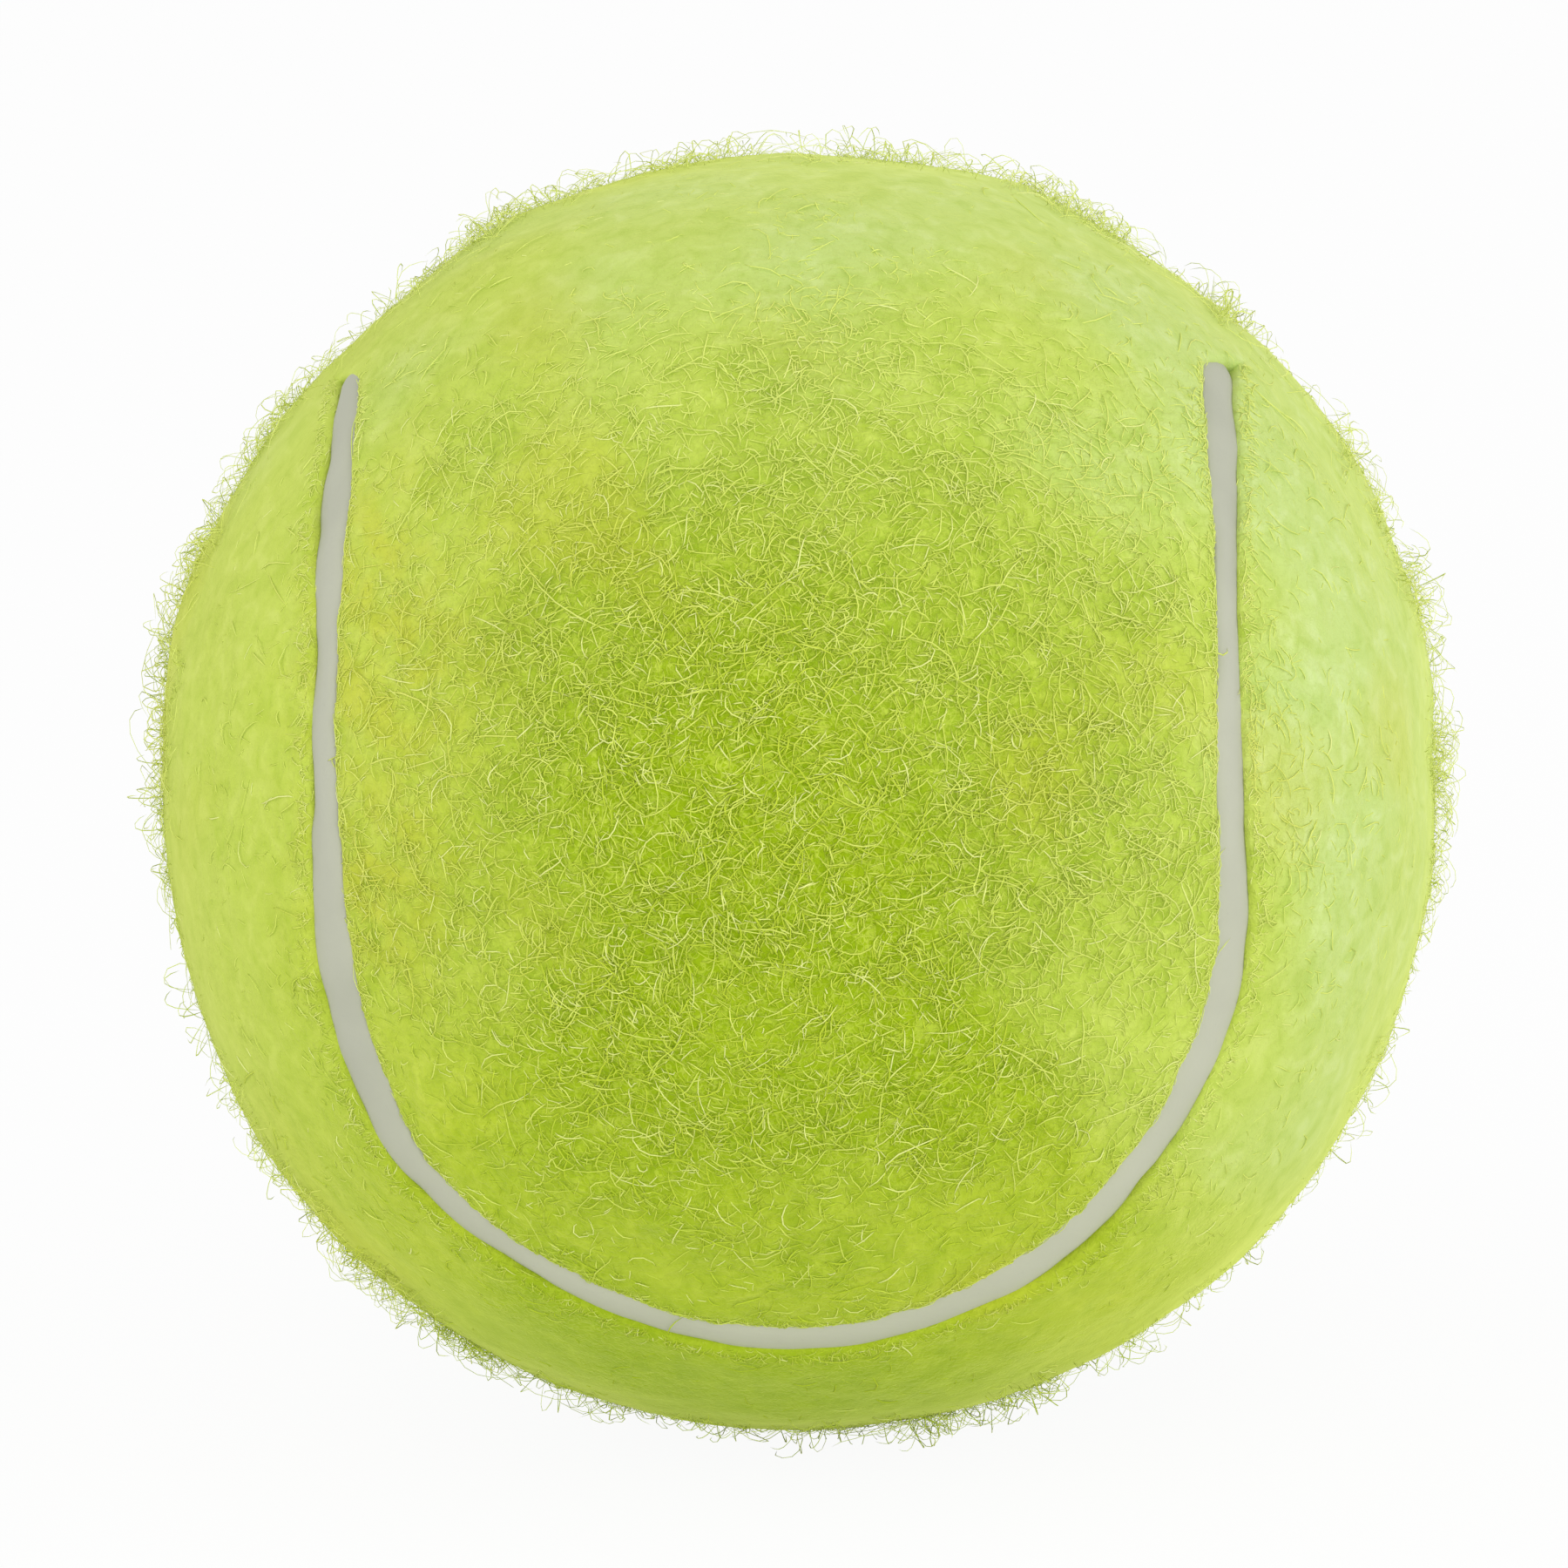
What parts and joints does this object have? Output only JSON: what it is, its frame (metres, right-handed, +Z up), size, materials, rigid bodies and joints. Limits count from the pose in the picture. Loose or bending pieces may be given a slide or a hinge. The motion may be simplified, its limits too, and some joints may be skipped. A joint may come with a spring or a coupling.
{
  "type": "tennis ball",
  "caption": "Pressurised tennis ball: hollow moulded rubber core under green-yellow felt blanks, joined by a grey vulcanised seam in one closed loop.",
  "frame": {"origin": "centre of the ball", "axes": "+Z up, through the middle of the first blank's waist; -Y through the middle of that blank's front lobe, the one that the picture shows; +X to the picture's right"},
  "size_m": [0.067, 0.067, 0.067],
  "materials": {
    "core_rubber": "matte",
    "joint_cement": "satin",
    "core_coat": "satin",
    "backing_coat": "satin",
    "felt": "matte",
    "seam_rubber": "matte"
  },
  "bodies": {
    "root": {"core_cup_lower": "core_rubber", "core_cup_upper": "core_rubber", "core_joint_cement": "joint_cement", "core_cement_coat": "core_coat", "panel_a_backing_coat": "backing_coat", "panel_b_backing_coat": "backing_coat", "felt_panel_a": "felt", "felt_panel_b": "felt", "seam_bead": "seam_rubber"}
  },
  "joints": []
}
